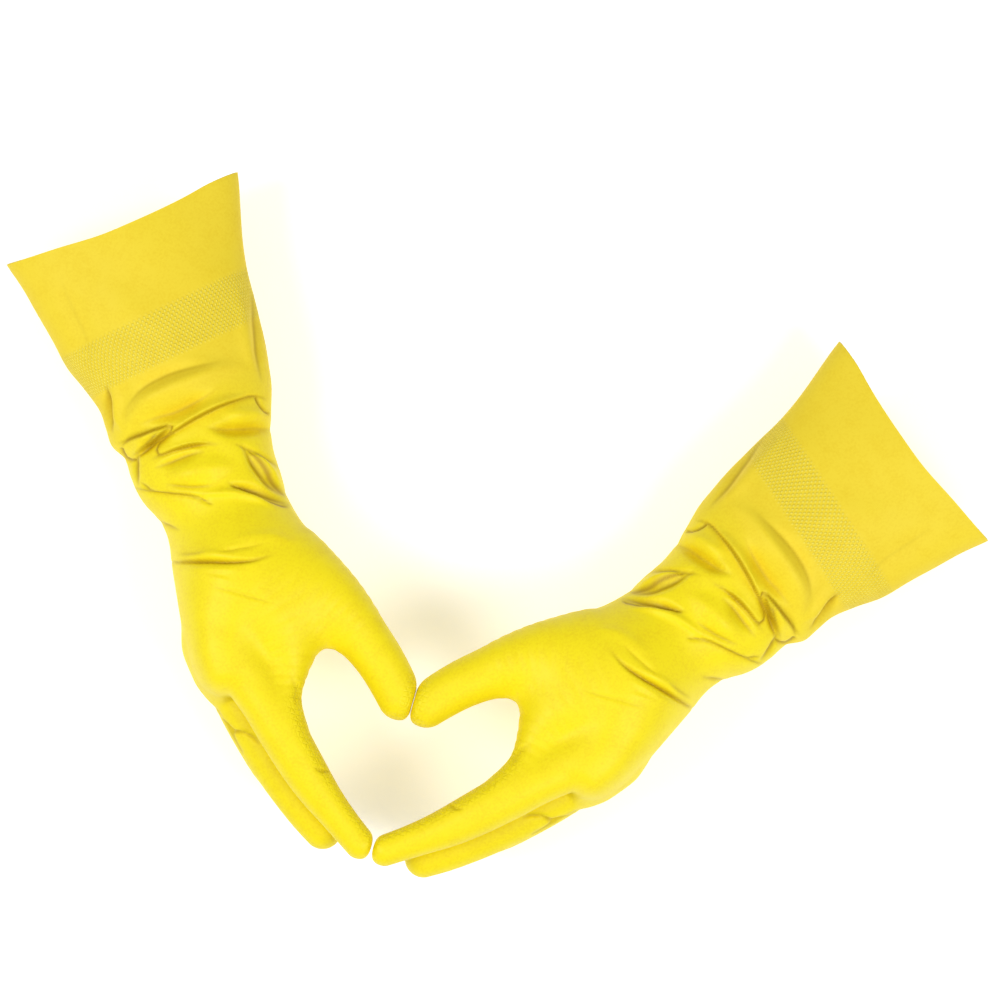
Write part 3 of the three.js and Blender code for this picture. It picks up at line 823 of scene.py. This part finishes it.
@dataclass(frozen=True)
class SkinDetail:
    """What the plain form lacks: the trimmed mouth, the creases, the masks of the textures, and the masks
    of the painted shade and painted shadow of the creases.
    """

    form: GloveForm = GloveForm()
    depth: float = 1.6
    trim_reach: float = 0.3
    trim_rounds: int = 3
    edge_share: float = 0.12
    lowest: float = 0.1
    palm_way: Point3 = (0.78, 0.60, 0.0)
    pad_way: Point3 = (0.45, -0.85, 0.0)
    ribs_from: float = 67.0
    ribs_to: float = 86.0
    ribs_lean: float = 0.13
    around_mm: float = 38.0

    def trimmed(self, points: Array, faces: Array) -> tuple[Array, Array]:
        """Cuts the cuff at its mouth: faces past it go, and points just past it slide back to it.

        Args:
            points: rows of x, y, z in mm.
            faces: rows of four corners.
        Returns:
            The kept points and faces.
        """
        sleeve = self.form.sleeve
        along, across = sleeve.forearm.split(points)
        past = along - curve_through(across, sleeve.mouth)
        kept = faces[(past[faces] < -self.trim_reach).any(axis=1)]
        lean = math.radians(sleeve.forearm.lean_deg)
        axis = np.array([-math.sin(lean), math.cos(lean), 0.0])
        over = past >= -self.trim_reach
        points = points.copy()
        points[over] -= axis * past[over, None]
        for _ in range(self.trim_rounds):
            points[over] = self.form.drop(points[over], axis)
        used, index = np.unique(kept, return_inverse=True)
        return points[used], index.reshape(kept.shape)

    def sway(self, points: Array) -> Array:
        """Adds the hand-made unevenness of soft rubber: a sum of slow sines of the coordinates,
        in mm, stronger on the cuff and the wrist than on the fingers.

        Args:
            points: rows of x, y, z in mm.
        Returns:
            The push outwards, in mm.
        """
        along, across = self.form.sleeve.forearm.split(points)
        x, y, z = points.T
        slow = np.sin(along / 13.0 + across / 21.0 + 0.6) * np.sin(across / 17.0 - z / 29.0 + 1.1)
        quick = np.sin(x / 5.3 + z / 7.1) * np.sin(y / 6.1 - z / 8.3 + 0.4)
        loose = smooth((along + 30) / 60.0)
        return slow * (0.12 + 0.5 * loose) + quick * (0.05 + 0.06 * loose)

    def creased(self, points: Array, normals: Array) -> tuple[Array, Array]:
        """Adds up the creases, each weaker on the sides, where the outline already has it.

        Args:
            points: rows of x, y, z in mm.
            normals: unit normals.
        Returns:
            The push outwards in mm, and the painted shadow lines, 0 to 1.
        """
        upper = smooth((normals[:, 2] + 0.15) / 0.6)
        lower = smooth((-normals[:, 2] + 0.15) / 0.6)
        total, crease_shadows = np.zeros(len(points)), np.zeros(len(points))
        for crease in CREASES:
            push, seam = crease.press(points)
            share = upper + lower * crease.under + self.edge_share
            total += push * share
            # Painted shadow along the creases: the strongest line at each point.
            crease_shadows = np.maximum(crease_shadows, seam * np.minimum(share, 1.0))
        return total * self.depth, crease_shadows

    def masks(self, points: Array, normals: Array, push: Array, crease_shadows: Array) -> dict[str, Array]:
        """Works out where each texture lies and how strongly, and where the creases' painted shade and
        painted shadow lie.

        Args:
            points: rows of x, y, z in mm.
            normals: unit normals.
            push: what the creases did.
            crease_shadows: the painted shadow lines along the creases, where rubber meets rubber.
        Returns:
            Named numbers per point, 0 to 1, and the two surface coordinates in mm.
        """
        sleeve = self.form.sleeve
        along, across = sleeve.forearm.split(points)
        middle, half, rise, _ = sleeve.section(along)
        angle = np.abs(np.arctan2((points[:, 2] - sleeve.forearm.wrist[2]) / rise,
                                  (across - middle) / half))
        ribs = band(along - self.ribs_lean * across, self.ribs_from, self.ribs_to, 3.5)
        return {
            "grip": self._grip(points, normals, along),
            "ribs": ribs,
            "flare": smooth((along - 12) / 55.0),
            # Painted shade: darker where a crease sinks the rubber in.
            "hollow": smooth(-push / 3.5),
            # Painted shadow lines along the creases.
            "seam": crease_shadows,
            "around": angle * self.around_mm,
            "along": along + 100.0,
        }

    def _grip(self, points: Array, normals: Array, along: Array) -> Array:
        """Adds up the four honeycombed places, each with soft edges: the fingers' inner sides, the
        palm, the thumb's pad and the thumb's tip.

        Args:
            points: rows of x, y, z in mm.
            normals: unit normals.
            along: each point's place along the forearm.
        Returns:
            How strongly the grip shows, 0 to 1.
        """
        x, y, z = points.T
        inward = normals @ np.array(self.palm_way)
        fingers = smooth((-y - 62) / 14.0) * smooth((inward - 0.38) / 0.3)
        palm = smooth((-along - 22) / 16.0) * smooth((inward - 0.3) / 0.35) * smooth((58 - z) / 10.0)
        pad = smooth((x + 26) / 10.0) * smooth((normals @ np.array(self.pad_way) - 0.3) / 0.4)
        pad = pad * smooth((y + 90) / 8.0)
        tip = smooth((x + 8) / 5.0) * smooth((y + 92) / 8.0)
        return np.clip(fingers + palm + pad + tip, 0.0, 1.0)

    def finished(self, points: Array, faces: Array) -> Surface:
        """Trims, creases and measures the skin.

        Args:
            points: rows of x, y, z in mm.
            faces: rows of four corners.
        Returns:
            The left glove's outer skin.
        """
        points, faces = self.trimmed(points, faces)
        normals = Surface.facing(points, faces)
        push, crease_shadows = self.creased(points, normals)
        moved = points + normals * (push + self.sway(points))[:, None]
        moved[:, 0] = np.minimum(moved[:, 0], self.form.partner_gap)
        moved[:, 2] = np.maximum(moved[:, 2], self.lowest)
        masks = self.masks(points, normals, push, crease_shadows)
        return Surface(moved, faces, Surface.facing(moved, faces), masks)


@dataclass(frozen=True)
class Sock:
    """A shader socket that takes part in sums: each operator adds one Math node."""

    bench: "Bench"
    link: Any

    def _math(self, operation: str, *others: Any) -> "Sock":
        """Returns the result of one Math node on this value and the others."""
        return self.bench.math(operation, self, *others)

    def __add__(self, other: Any) -> "Sock":
        """Returns self + other."""
        return self._math("ADD", other)

    __radd__ = __add__

    def __mul__(self, other: Any) -> "Sock":
        """Returns self * other."""
        return self._math("MULTIPLY", other)

    __rmul__ = __mul__

    def __sub__(self, other: Any) -> "Sock":
        """Returns self - other."""
        return self._math("SUBTRACT", other)

    def __rsub__(self, other: Any) -> "Sock":
        """Returns other - self."""
        return self.bench.math("SUBTRACT", other, self)

    def clamp(self) -> "Sock":
        """Returns the value held between 0 and 1."""
        return self._math("MAXIMUM", 0.0)._math("MINIMUM", 1.0)


class Bench:
    """Builds one material's nodes."""

    def __init__(self, name: str) -> None:
        """Makes an empty material.

        Args:
            name: the material's name.
        """
        self.material = bpy.data.materials.new(name)
        self.material.use_nodes = True
        self.tree = self.material.node_tree
        self.tree.nodes.clear()

    def node(self, kind: str, settings: dict[str, Any] | None = None, out: int | str = 0,
             **sockets: Any) -> Sock:
        """Adds a node, sets its options, then its sockets.

        Args:
            kind: the node's type.
            settings: its options.
            out: the output to hand back.
            **sockets: values or links, by the socket's name with _ for a space, or i0, i1.. by place.
        Returns:
            The chosen output.
        """
        made = self.tree.nodes.new(kind)
        for key, value in (settings or {}).items():
            setattr(made, key, value)
        for key, value in sockets.items():
            by_place = key[0] == "i" and key[1:].isdigit()
            socket = made.inputs[int(key[1:])] if by_place else made.inputs[key.replace("_", " ")]
            if isinstance(value, Sock):
                self.tree.links.new(value.link, socket)
            else:
                socket.default_value = value
        return Sock(self, made.outputs[out]) if len(made.outputs) else Sock(self, None)

    def math(self, operation: str, *values: Any) -> Sock:
        """Returns one Math node's result."""
        sockets = {f"i{k}": value for k, value in enumerate(values)}
        return self.node("ShaderNodeMath", {"operation": operation}, **sockets)

    def mask(self, name: str) -> Sock:
        """Returns one of the mesh's named numbers."""
        return self.node("ShaderNodeAttribute", {"attribute_name": name}, "Fac")

    def blend(self, factor: Any, first: Any, second: Any) -> Sock:
        """Returns a mix of two colours."""
        return self.node("ShaderNodeMix", {"data_type": "RGBA"}, 2, i0=factor, i6=first, i7=second)

    def noise(self, place: Sock, scale: float, detail: float = 2.0) -> Sock:
        """Returns a soft random value, 0 to 1."""
        return self.node("ShaderNodeTexNoise", None, 0, Vector=place, Scale=scale, Detail=detail)

    def finish(self, shader: Sock) -> bpy.types.Material:
        """Joins the shader to the output.

        Args:
            shader: the last shader's output.
        Returns:
            The finished material.
        """
        self.node("ShaderNodeOutputMaterial", None, 0, Surface=shader)
        return self.material


@dataclass(frozen=True)
class LatexFinish:
    """Moulded natural rubber: satin on the hand, duller and paler on the cuff."""

    hand: Colour = (0.92, 0.76, 0.006, 1)
    cuff: Colour = (0.86, 0.66, 0.030, 1)
    # Painted crease shade, and also the colour of the random mottling.
    deep: Colour = (0.74, 0.50, 0.001, 1)
    # Painted shadow colour laid along the creases.
    seam: Colour = (0.46, 0.29, 0.003, 1)
    # Painted highlight colour for the cuff's raised dots.
    dot: Colour = (0.97, 0.86, 0.16, 1)
    rough_hand: float = 0.50
    rough_cuff: float = 0.62
    specular: float = 0.26
    grain_mm: float = 0.55
    cell_mm: float = 2.3
    dot_mm: float = 2.0
    row_mm: float = 2.9
    bump_mm: float = 0.6

    def material(self) -> bpy.types.Material:
        """Builds the rubber: colour from masks and slow noise, with painted shade in the crease valleys,
        painted shadow lines along the creases and painted highlights on the cuff's dots; honeycomb
        and ribs as bump.

        Returns:
            The material.
        """
        bench = Bench("yellow_latex")
        place = bench.node("ShaderNodeTexCoord", None, "Object")
        slow = bench.noise(place, 22.0, 3.0)
        patchy = bench.noise(place, 120.0, 3.0)
        mottle = bench.noise(place, 850.0, 3.0)
        flare, hollow = bench.mask("flare"), bench.mask("hollow")
        tone = (flare + (slow - 0.5) * 0.5).clamp()
        colour = bench.blend(tone, self.hand, self.cuff)
        uneven = (patchy - 0.5) * 0.5 + (mottle - 0.42) * 0.9
        # Painted shade in the crease valleys, mixed with random darker mottling.
        colour = bench.blend((hollow * 0.5 + uneven).clamp(), colour, self.deep)
        # Painted highlight on the cuff's raised dots.
        colour = bench.blend((self._dots(bench) * 0.55).clamp(), colour, self.dot)
        # Painted shadow line along the creases.
        colour = bench.blend((bench.mask("seam") * 0.95).clamp(), colour, self.seam)
        rough = tone * (self.rough_cuff - self.rough_hand) + self.rough_hand
        rough = rough + (patchy - 0.5) * 0.14
        shader = bench.node(
            "ShaderNodeBsdfPrincipled", None, 0, Base_Color=colour, Roughness=rough.clamp(),
            IOR=1.5, Specular_IOR_Level=self.specular, Normal=self._relief(bench, place))
        return bench.finish(shader)

    def _dots(self, bench: Bench) -> Sock:
        """Returns the cuff's raised dots: where the sines of around and along are both high or
        both low, so that they stand in crossed rows."""
        one = bench.math("SINE", bench.mask("around") * (2 * math.pi / self.dot_mm))
        two = bench.math("SINE", bench.mask("along") * (2 * math.pi / self.row_mm))
        return (one * two * 1.6).clamp() * bench.mask("ribs")

    def _relief(self, bench: Bench, place: Sock) -> Sock:
        """Stacks the bumps: pores, honeycomb grip and the cuff's crossed ribs.

        Args:
            bench: the material's bench.
            place: object coordinates.
        Returns:
            The bumped normal.
        """
        pores = bench.noise(place, 1.0 / (self.grain_mm * MM), 2.0)
        cells = bench.node("ShaderNodeTexVoronoi", {"feature": "DISTANCE_TO_EDGE"}, "Distance",
                           Vector=place, Scale=1.0 / (self.cell_mm * MM), Randomness=0.2)
        walls = (cells * 5.0).clamp()
        height = pores * 0.05 + walls * bench.mask("grip") * 0.42 + self._dots(bench) * 0.7
        return bench.node("ShaderNodeBump", None, 0, Strength=0.8, Distance=self.bump_mm * MM,
                          Height=height)


@dataclass(frozen=True)
class FlockFinish:
    """Cotton flock: short fibres glued to the inside, matte and a little paler than the rubber."""

    bright: Colour = (0.93, 0.85, 0.42, 1)
    shade: Colour = (0.84, 0.70, 0.22, 1)
    pile_mm: float = 0.4

    def material(self) -> bpy.types.Material:
        """Builds the flock from two scales of noise.

        Returns:
            The material.
        """
        bench = Bench("cotton_flock")
        place = bench.node("ShaderNodeTexCoord", None, "Object")
        tufts = bench.noise(place, 900.0, 4.0)
        clumps = bench.noise(place, 160.0, 3.0)
        colour = bench.blend((tufts * 0.6 + clumps * 0.4).clamp(), self.shade, self.bright)
        bump = bench.node("ShaderNodeBump", None, 0, Strength=0.7, Distance=self.pile_mm * MM,
                          Height=tufts + clumps * 0.5)
        shader = bench.node("ShaderNodeBsdfPrincipled", None, 0, Base_Color=colour, Roughness=0.95,
                            Sheen_Weight=0.4, Sheen_Roughness=0.5, Specular_IOR_Level=0.2, Normal=bump)
        return bench.finish(shader)


@dataclass(frozen=True)
class FloorFinish:
    """Plain pale studio paper."""

    colour: Colour = (0.92, 0.92, 0.92, 1)
    glow: float = 0.4

    def material(self) -> bpy.types.Material:
        """Builds the paper.

        Returns:
            The material.
        """
        bench = Bench("pale_paper")
        shader = bench.node("ShaderNodeBsdfPrincipled", None, 0, Base_Color=self.colour, Roughness=0.9,
                            Specular_IOR_Level=0.1, Emission_Color=self.colour,
                            Emission_Strength=self.glow)
        return bench.finish(shader)


@dataclass
class Wardrobe:
    """The materials that both gloves wear."""

    latex: bpy.types.Material
    flock: bpy.types.Material


@dataclass(frozen=True)
class Glove:
    """One glove: its skin cut into pieces and dressed, its palm pieces tied to the palm's body.

    Attributes:
        hand: which glove this is.
        master: the left glove's skin, which the right one mirrors.
        wardrobe: the materials.
        form: the shape that the skin came from.
        wall: the rubber's thickness, in mm.
        mouth_reach: how near the mouth an open edge counts as the cut edge, in mm.
        stiff_from: where along the forearm the sleeve would start to follow the palm; nothing is moved by
            it.
        stiff_to: where it would follow the palm fully; the cuff piece runs to it and the overlap past it.
        overlap: how far past that the sleeve piece goes on.
    """

    hand: Hand
    master: Surface
    wardrobe: Wardrobe
    form: GloveForm
    wall: float = 0.9
    mouth_reach: float = 4.0
    stiff_from: float = 22.0
    stiff_to: float = -24.0
    overlap: float = 3.0

    def body(self, name: str) -> str:
        """Returns a CAD body's full name."""
        return f"{self.hand.word}_{name}_body"

    def node(self, name: str) -> str:
        """Returns a CAD node's full name."""
        return f"{self.hand.word}_{name}"

    def metres(self, point: Sequence[float], height: float = 44.0) -> Vector:
        """Turns a left-glove point in mm into this glove's place in metres.

        Args:
            point: x and y, and z if it has one.
            height: z where the point has none.
        Returns:
            The place.
        """
        z = point[2] if len(point) > 2 else height
        return Vector((point[0] * self.hand.value, point[1], z)) * MM

    def labels(self) -> dict[str, Array]:
        """Shares the faces out among the pieces by where their middles lie on the left glove.

        Returns:
            A mask of the faces for each piece's name.
        """
        middles = self.master.points[self.master.faces].mean(axis=1)
        along, _ = self.form.sleeve.forearm.split(middles)
        left = np.ones(len(middles), bool)
        found: dict[str, Array] = {}
        for digit in (THUMB, *FINGERS):
            region = middles[:, 1] > digit.rear if digit is THUMB else middles[:, 1] < digit.rear
            mine = left & region & digit.beyond(middles, digit.base)
            end = mine & digit.beyond(middles, digit.bend)
            found[f"{digit.name}_tip"] = end
            found[f"{digit.name}_root"] = mine & ~end
            left &= ~mine
        found["cuff"] = left & (along > self.stiff_to - self.overlap)
        found["palm"] = left & (along <= self.stiff_to - self.overlap)
        return found

    def rimmed(self, piece: Surface) -> Surface:
        """Adds the rubber's cut edge: a strip round the cuff's mouth, as wide as the wall.

        Args:
            piece: the outer skin of the piece.
        Returns:
            The skin with its edge.
        """
        count = len(piece.points)
        starts, ends = piece.faces.ravel(), np.roll(piece.faces, -1, axis=1).ravel()
        open_edge = ~np.isin(starts * count + ends, ends * count + starts)
        left_points = piece.points * np.array([self.hand.value, 1, 1])
        along, across = self.form.sleeve.forearm.split(left_points)
        at_mouth = along > curve_through(across, self.form.sleeve.mouth) - self.mouth_reach
        rim = open_edge & at_mouth[starts] & at_mouth[ends]
        strip = np.stack([ends[rim], starts[rim], starts[rim] + count, ends[rim] + count], axis=1)
        masks = {name: np.concatenate([value, value]) for name, value in piece.masks.items()}
        whole = Surface(np.concatenate([piece.points, piece.points - piece.normals * self.wall]),
                        np.concatenate([piece.faces, strip]),
                        np.concatenate([piece.normals, -piece.normals]), masks)
        return whole.taking(np.ones(len(whole.faces), bool))

    def flock(self, piece: Surface) -> Surface:
        """Returns the inner side: the piece moved in by the wall and turned over."""
        inner = piece.points - piece.normals * self.wall
        return Surface(inner, piece.faces[:, ::-1], -piece.normals, {})

    def piece(self, name: str, surface: Surface, slot: str = "latex") -> bpy.types.Object:
        """Makes one object from arrays, with its masks, its material and the whole skin's normals.

        Args:
            name: the piece's name after the hand's.
            surface: its shape in mm.
            slot: latex or flock.
        Returns:
            The object, at the origin.
        """
        name = f"{self.hand.word}_{name}"
        mesh = bpy.data.meshes.new(name)
        mesh.from_pydata(surface.points * MM, [], surface.faces)
        for key, value in surface.masks.items():
            attribute = mesh.attributes.new(key, "FLOAT", "POINT")
            attribute.data.foreach_set("value", value.astype(np.float32))
        mesh.materials.append(getattr(self.wardrobe, slot))
        mesh.polygons.foreach_set("use_smooth", np.ones(len(surface.faces), bool))
        mesh.normals_split_custom_set_from_vertices(surface.normals)
        made = bpy.data.objects.new(name, mesh)
        bpy.context.scene.collection.objects.link(made)
        LOG.info("%s: %d faces", name, len(surface.faces))
        return made

    def build(self) -> None:
        """Makes every piece, ties the palm's pieces to the palm's body and hides the CAD nodes that the
        pieces stand in for.
        """
        shares = self.labels()
        skin = self.master if self.hand is Hand.LEFT else self.master.mirrored()
        sleeve, hand = skin.taking(shares["cuff"]), skin.taking(shares["palm"])
        self._cross(self.piece("cuff_skin", self.rimmed(sleeve)), "cuff")
        self._cross(self.piece("cuff_flock", self.flock(sleeve), "flock"), "cuff_lining")
        self._hold(self.piece("palm_skin", hand), "palm")
        self._hold(self.piece("palm_flock", self.flock(hand), "flock"), "palm_lining")
        for digit in (THUMB, *FINGERS):
            root, tip = f"{digit.name}_root", f"{digit.name}_tip"
            base = self.piece(f"{digit.name}_base_skin", skin.taking(shares[root]))
            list(map(self.metres, digit.base))
            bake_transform(base)
            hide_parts(self.node(root), self.node(root + "_lining"))
            end = self.piece(f"{digit.name}_end_skin", skin.taking(shares[tip]))
            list(map(self.metres, digit.bend))
            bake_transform(end)
            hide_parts(self.node(tip), self.node(tip + "_lining"))

    def _cross(self, piece: bpy.types.Object, node: str) -> None:
        """Puts a sleeve piece in the place of a CAD node and hides that node.

        Args:
            piece: the piece.
            node: the CAD node's name after the hand's.
        """
        forearm = self.form.sleeve.forearm
        start, end = forearm.place(self.stiff_from), forearm.place(self.stiff_to)
        self.metres(start)
        self.metres(end)
        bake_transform(piece)
        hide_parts(self.node(node))

    def _hold(self, piece: bpy.types.Object, node: str) -> None:
        """Fixes a piece to the palm in place of a CAD node.

        Args:
            piece: the piece.
            node: the CAD node's name after the hand's.
        """
        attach(piece, self.body("palm"))
        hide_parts(self.node(node))


@dataclass(frozen=True)
class Studio:
    """Pale floor, soft light and the camera straight above, rolled to the pair's lean."""

    aim: Point3 = (13.0, 30.8, 44.0)
    roll_deg: float = 15.7
    distance_mm: float = 3765.0
    lens: float = 300.0
    floor_half: float = 3.0
    softbox_at: Point3 = (0.80, -0.25, 1.25)
    softbox_size: float = 0.6
    softbox_watts: float = 10.5
    sky: float = 0.34

    def build(self) -> None:
        """Makes the floor, the lights, the world and the camera."""
        self._floor()
        x, y, z = self.softbox_at
        self._light("left_softbox", (-x, y, z))
        self._light("right_softbox", (x, y, z))
        world = bpy.data.worlds.new("studio")
        world.use_nodes = True
        background = world.node_tree.nodes["Background"]
        background.inputs["Color"].default_value = (1, 1, 1, 1)
        background.inputs["Strength"].default_value = self.sky
        bpy.context.scene.world = world
        bpy.context.scene.view_settings.view_transform = "Standard"
        self._camera()

    def _floor(self) -> None:
        """Makes the paper floor."""
        mesh = bpy.data.meshes.new("floor")
        half = self.floor_half
        corners = [(-half, -half, 0), (half, -half, 0), (half, half, 0), (-half, half, 0)]
        mesh.from_pydata(corners, [], [(0, 1, 2, 3)])
        mesh.materials.append(FloorFinish().material())
        floor = bpy.data.objects.new("floor", mesh)
        bpy.context.scene.collection.objects.link(floor)

    def _light(self, name: str, place: Point3) -> None:
        """Hangs a soft square light that looks at the pair.

        Args:
            name: the light's name.
            place: where it hangs, in metres.
        """
        data = bpy.data.lights.new(name, "AREA")
        data.size, data.energy = self.softbox_size, self.softbox_watts
        lamp = bpy.data.objects.new(name, data)
        lamp.location = place
        lamp.visible_camera = False
        toward_pair = Vector((0, 0, 0.04)) - Vector(place)
        lamp.rotation_euler = toward_pair.to_track_quat("-Z", "Y").to_euler()
        bpy.context.scene.collection.objects.link(lamp)

    def _camera(self) -> None:
        """Hangs the camera."""
        data = bpy.data.cameras.new("camera")
        data.lens, data.sensor_width = self.lens, 36.0
        data.clip_start, data.clip_end = 0.05, 20.0
        camera = bpy.data.objects.new("camera", data)
        aim = Vector(self.aim) * MM
        camera.location = aim + Vector((0, 0, self.distance_mm * MM))
        camera.rotation_euler = (0, 0, math.radians(self.roll_deg))
        bpy.context.scene.collection.objects.link(camera)
        bpy.context.scene.camera = camera


def main() -> None:
    """Builds the studio and the two gloves in order."""
    logging.basicConfig(level=logging.INFO, format="%(name)s: %(message)s")
    Studio().build()
    form = GloveForm()
    mesher = SkinMesher(form)
    points, faces = mesher.net(form.lattice())
    LOG.info("net: %d points, %d faces", len(points), len(faces))
    points = mesher.settle(points, faces)
    skin = SkinDetail(form).finished(points, faces)
    wardrobe = Wardrobe(LatexFinish().material(), FlockFinish().material())
    for hand in Hand:
        Glove(hand, skin, wardrobe, form).build()


if __name__ == "__main__":
    main()
